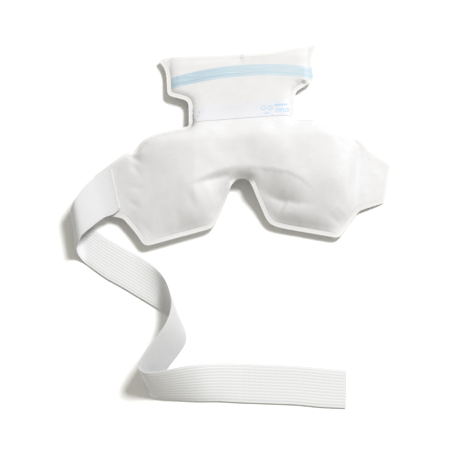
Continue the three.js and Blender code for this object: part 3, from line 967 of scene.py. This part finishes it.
def build_bag():
    left = closed_part("bag_left", left_half)
    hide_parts("front_left_wing", "back_left_wing", "ice_left_wing", "front_left_tab",
                "back_left_tab")
    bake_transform(left)
    right = closed_part("bag_right", right_half)
    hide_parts("front_centre_panel", "back_centre_panel", "ice_centre", "front_right_wing",
                "back_right_wing", "ice_right_wing")
    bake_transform(right)
    tab = closed_part("tab_right", right_tab, closed_cuts=True)
    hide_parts("front_right_tab", "back_right_tab")
    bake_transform(tab)
    for name, mask, front, node in (("neck_front", throat, True, "front_neck_panel"),
                                    ("neck_back", on_neck, False, "back_neck_panel")):
        piece = skin_part(name, mask, front, NECK_MATERIALS if front else (FABRIC, WELD))
        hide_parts(node)
        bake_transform(piece)
    lip_piece = skin_part("lip_front", lip, True, NECK_MATERIALS)
    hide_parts("front_lip_panel")
    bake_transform(lip_piece)


def dress_cad(node, material):
    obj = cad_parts[node]
    obj.data.materials.clear()
    obj.data.materials.append(material)


# ---- label


def on_surface(x, y, lift):
    """The point of the laid front sheet over the pattern's x and y, raised by lift millimetres."""
    place = lay(np.array([[x, y, 0.0]]))[0]
    hit = SURFACE.ray_cast(Vector((place[0], place[1], 0.1)), Vector((0, 0, -1)))
    return (place[0], place[1], hit[0].z + lift * MM)


def plate(name, outline_of, columns, rows, lift, thick, material):
    """A thin closed plate over the front sheet. outline_of maps u and v, 0 to 1, to the pattern."""
    vertices = []
    for level in (lift + thick, lift):
        for j in range(rows + 1):
            for i in range(columns + 1):
                x, y = outline_of(i / columns, j / rows)
                vertices.append(on_surface(x, y, level))
    return grid_solid(name, vertices, columns, rows, material)


def grid_solid(name, vertices, columns, rows, material):
    """A closed solid from an upper and then a lower grid of points."""
    wide = columns + 1
    under_first = wide * (rows + 1)
    faces = []
    for j in range(rows):
        for i in range(columns):
            a = j * wide + i
            faces.append((a, a + 1, a + 1 + wide, a + wide))
            faces.append(tuple(under_first + v for v in (a, a + wide, a + 1 + wide, a + 1)))
    rim = list(range(wide))
    rim += [j * wide + columns for j in range(1, rows + 1)]
    rim += [rows * wide + i for i in range(columns - 1, -1, -1)]
    rim += [j * wide for j in range(rows - 1, 0, -1)]
    for a, b in zip(rim, rim[1:] + rim[:1]):
        faces.append((b, a, under_first + a, under_first + b))
    mesh = bpy.data.meshes.new(name)
    mesh.from_pydata(vertices, [], faces)
    mesh.polygons.foreach_set("use_smooth", np.ones(len(faces), bool))
    mesh.materials.append(material)
    mesh.set_sharp_from_angle(angle=math.radians(50))
    return put_in_scene(name, mesh)


def label_point(x, across):
    """across runs from -1 at the label's lower edge to 1 at its upper edge."""
    return x, label_y(x) + across * LABEL_HEIGHT / 2


def join(name, parts):
    bpy.ops.object.select_all(action="DESELECT")
    for part in parts:
        part.select_set(True)
    bpy.context.view_layer.objects.active = parts[0]
    bpy.ops.object.join()
    parts[0].name = name
    return parts[0]


def ring_mark(x, across, radius, width):
    cx, cy = label_point(x, across)

    def place(u, v):
        r = radius + (v - 0.5) * width
        return cx + r * math.cos(-math.tau * u), cy + r * math.sin(-math.tau * u)

    return plate("mark", place, 20, 1, MARK_LIFT, MARK_THICK, INK)


def bar_mark(x, across, width, height, material=INK):
    cx, cy = label_point(x, across)

    def place(u, v):
        return cx + (u - 0.5) * width, cy + (v - 0.5) * height

    return plate("mark", place, 2, 2, MARK_LIFT, MARK_THICK, material)


def build_label():
    def place(u, v):
        return label_point(mix(-LABEL_HALF, LABEL_HALF, u), 2 * v - 1)

    band = plate("label_sheet", place, 58, 10, LABEL_LIFT, LABEL_THICK, LABEL)
    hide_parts("label_band")
    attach(band, "pouch")
    marks = [ring_mark(19.0, 0.18, 1.9, 0.5), ring_mark(24.6, 0.12, 1.9, 0.5)]
    marks += [bar_mark(19.4 + 0.9 * i, -0.52, 0.45, 1.6) for i in range(6)]
    marks += [bar_mark(29.6 + 1.9 * i, 0.40, 1.2, 1.7) for i in range(6)]
    marks += [ring_mark(x, -0.28, 1.5, 0.55) for x in (31.6, 35.4, 39.4)]
    printed = join("label_marks", marks)
    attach(printed, "pouch")
    specks = [(-42.6, 0.55), (-42.9, 0.1), (-42.4, -0.5), (-39.2, -0.25), (-37.6, 0.3),
              (-38.2, -0.1), (26.4, -0.85)]
    dots = [bar_mark(x, across, 0.8, 0.6, DARK_INK) for x, across in specks]
    printed_dots = join("label_specks", dots)
    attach(printed_dots, "pouch")


# ---- elastic strap

STRAP_WIDE = 34.0  # of the strap's texture
STRAP_THICK = 1.4
SELVAGE = 0.45  # thickness of the elastic's edges, as a share of its own
STRAP_ACROSS = 14  # mesh columns across the strap
STRAP_ALONG = 8  # mesh rows for each ruling
TAIL_START = 29  # the ruling at which the loose end lifts
WELD_BAR = (0.03, 0.30)  # the places, counted in rulings, between which the weld bar lies
HOOK_COLUMNS = 18
HOOK_ROWS = 24
HOOK_GAP = 0.05  # between the tab and the hook patch
HOOK_DEPTH = 0.9
HOOK_HEIGHT = 0.35

# Lines across the elastic: x, y, z on the edge nearer the viewer, and x, y, z on the other edge.
STRAP_RULINGS = [
    (-106, -54, 10.5, -114, -18, 10.5), (-112, -59, 11, -121, -20, 11),
    (-119, -62, 12.5, -129, -26, 13), (-125, -67, 16, -136, -34, 17),
    (-132, -74, 19.5, -142, -43, 20.5), (-139, -81, 21, -146, -50, 21.5),
    (-142, -87, 18.5, -148, -54, 18.5), (-144, -91, 11.5, -149, -56, 11.5),
    (-142, -95, 4.5, -147, -58, 4.5), (-137, -100, 1, -142, -62, 1),
    (-129, -106, 0.8, -132, -68, 0.8), (-118, -114, 0.8, -119, -77, 0.8),
    (-104, -122, 0.8, -104, -86, 0.8), (-91, -130, 0.8, -90, -94, 1),
    (-78, -138, 0.8, -77, -104, 4), (-66, -146, 0.8, -68, -116, 12),
    (-56, -154, 0.8, -63, -129, 19.5), (-49, -162, 1, -61, -141, 23),
    (-49, -171, 1, -63, -153, 25), (-54, -180, 0.8, -68, -164, 26.5),
    (-60, -188, 0.8, -75, -174, 27), (-67, -197, 0.8, -82, -184, 27.5),
    (-75, -206, 0.8, -87, -193, 28), (-79, -214, 1, -89, -199, 28),
    (-76, -219, 1, -85, -203, 28), (-69, -221, 1, -76, -203, 27),
    (-56, -222, 1, -62, -200, 25), (-38, -223, 0.8, -43, -195, 18),
    (-21, -223, 0.8, -23, -191, 7), (-2, -224, 0.8, -2, -190, 2),
    (24, -225, 0.8, 24, -191, 1), (47, -226, 0.8, 49, -192, 0.8),
    (68, -228, 0.8, 70, -194, 0.8), (89, -229, 0.8, 90, -196, 0.8),
]
SPANS = len(STRAP_RULINGS) - 1
NEAR_EDGE = [np.array(ruling[:3], float) for ruling in STRAP_RULINGS]
FAR_EDGE = [np.array(ruling[3:], float) for ruling in STRAP_RULINGS]


def curve_point(points, at):
    """Centripetal Catmull-Rom curve through the points, at a place counted in points."""
    i = min(int(at), len(points) - 2)
    w = at - i
    p1, p2 = points[i], points[i + 1]
    p0 = points[i - 1] if i > 0 else 2 * p1 - p2
    p3 = points[i + 2] if i + 2 < len(points) else 2 * p2 - p1
    sides = ((p0, p1), (p1, p2), (p2, p3))
    d0, d1, d2 = (max(1e-4, np.linalg.norm(b - a)) ** 0.5 for a, b in sides)
    m1 = ((p1 - p0) / d0 - (p2 - p0) / (d0 + d1) + (p2 - p1) / d1) * d1
    m2 = ((p2 - p1) / d1 - (p3 - p1) / (d1 + d2) + (p3 - p2) / d2) * d1
    return p1 + m1 * w + (3 * (p2 - p1) - 2 * m1 - m2) * w**2 + (2 * (p1 - p2) + m1 + m2) * w**3


def strap_frame(at):
    """The strap's two edge points and its upward normal at a place counted in rulings."""
    near = curve_point(NEAR_EDGE, at)
    far = curve_point(FAR_EDGE, at)
    step = 0.05
    low, high = max(0, at - step), min(SPANS, at + step)
    ahead = curve_point(NEAR_EDGE, high) - curve_point(NEAR_EDGE, low)
    ahead += curve_point(FAR_EDGE, high) - curve_point(FAR_EDGE, low)
    normal = np.cross(far - near, ahead)
    return near, far, normal / np.linalg.norm(normal)


def strap_run(name, start, end):
    """The elastic between two rulings, as a closed ribbon with a thinner, rounded selvage."""
    rows = int(round((end - start) * STRAP_ALONG))
    upper, lower, along = [], [], [0.0]
    last = None
    for j in range(rows + 1):
        near, far, normal = strap_frame(mix(start, end, j / rows))
        centre = (near + far) / 2
        if last is not None:
            along.append(along[-1] + float(np.linalg.norm(centre - last)))
        last = centre
        for i in range(STRAP_ACROSS + 1):
            u = i / STRAP_ACROSS
            half = STRAP_THICK / 2 * (1 if 0 < i < STRAP_ACROSS else SELVAGE)
            middle = mix(near, far, u)
            upper.append(middle + normal * half)
            lower.append(middle - normal * half)
    vertices = (np.array(upper + lower) * MM).tolist()
    strap = grid_solid(name, vertices, STRAP_ACROSS, rows, STRAP_FACE_A)
    mesh = strap.data
    mesh.materials.append(STRAP_FACE_B)
    wide = STRAP_ACROSS + 1
    layer = mesh.uv_layers.new(name="weave")
    for polygon in mesh.polygons:
        down = all(v >= wide * (rows + 1) for v in polygon.vertices)
        polygon.material_index = 1 if down else 0
        for loop in polygon.loop_indices:
            v = mesh.loops[loop].vertex_index % (wide * (rows + 1))
            across = STRAP_WIDE * (v % wide) / STRAP_ACROSS
            layer.data[loop].uv = (across / PATTERN_UNIT, along[v // wide] / PATTERN_UNIT)
    return strap, along[-1] * MM


def build_strap():
    strap, length = strap_run("strap", 0, TAIL_START)
    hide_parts("strap_anchor", "elastic_strap")
    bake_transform(strap)
    tail, tail_length = strap_run("strap_tail", TAIL_START, SPANS)
    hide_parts("elastic_strap_end")
    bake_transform(tail)


def build_weld_bar():
    """The melted bar across the strap's end, proud of the elastic, with rounded edges."""
    columns, rows = 24, 6
    start, end = WELD_BAR
    upper, lower = [], []
    for j in range(rows + 1):
        near, far, normal = strap_frame(mix(start, end, j / rows))
        rounding = math.sin(math.pi * j / rows) ** 0.5 if 0 < j < rows else 0
        for i in range(columns + 1):
            middle = mix(near, far, mix(0.02, 0.98, i / columns))
            base = STRAP_THICK / 2 + 0.02
            upper.append(middle + normal * (base + 0.06 + 0.12 * rounding))
            lower.append(middle + normal * base)
    vertices = (np.array(upper + lower) * MM).tolist()
    bar = grid_solid("strap_weld", vertices, columns, rows, STRAP_WELD)
    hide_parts("strap_weld_bar")
    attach(bar, "left_wing")


def build_hook_patch():
    """The patch under the right tab, with every second point of its face standing out as a hook."""
    low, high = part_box("hook_patch")
    under_tab = BVHTree.FromPolygons(under.tolist(), TRIANGLES.tolist())
    vertices = []
    for drop in (HOOK_GAP, HOOK_DEPTH):
        for j in range(HOOK_ROWS + 1):
            for i in range(HOOK_COLUMNS + 1):
                x = mix(low.x, high.x, i / HOOK_COLUMNS)
                y = mix(low.y, high.y, j / HOOK_ROWS)
                hit = under_tab.ray_cast(Vector((x, y, -0.1)), Vector((0, 0, 1)))
                within = 0 < i < HOOK_COLUMNS and 0 < j < HOOK_ROWS
                hook = HOOK_HEIGHT if drop == HOOK_DEPTH and within and (i + j) % 2 else 0.0
                vertices.append((x, y, hit[0].z - (drop + hook) * MM))
    patch = grid_solid("hook_pad", vertices, HOOK_COLUMNS, HOOK_ROWS, HOOK)
    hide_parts("hook_patch")
    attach(patch, "right_tab")


build_bag()
build_label()
build_strap()
build_weld_bar()
build_hook_patch()
dress_cad("zip_male_strip", ZIP)
dress_cad("zip_female_strip", ZIP)
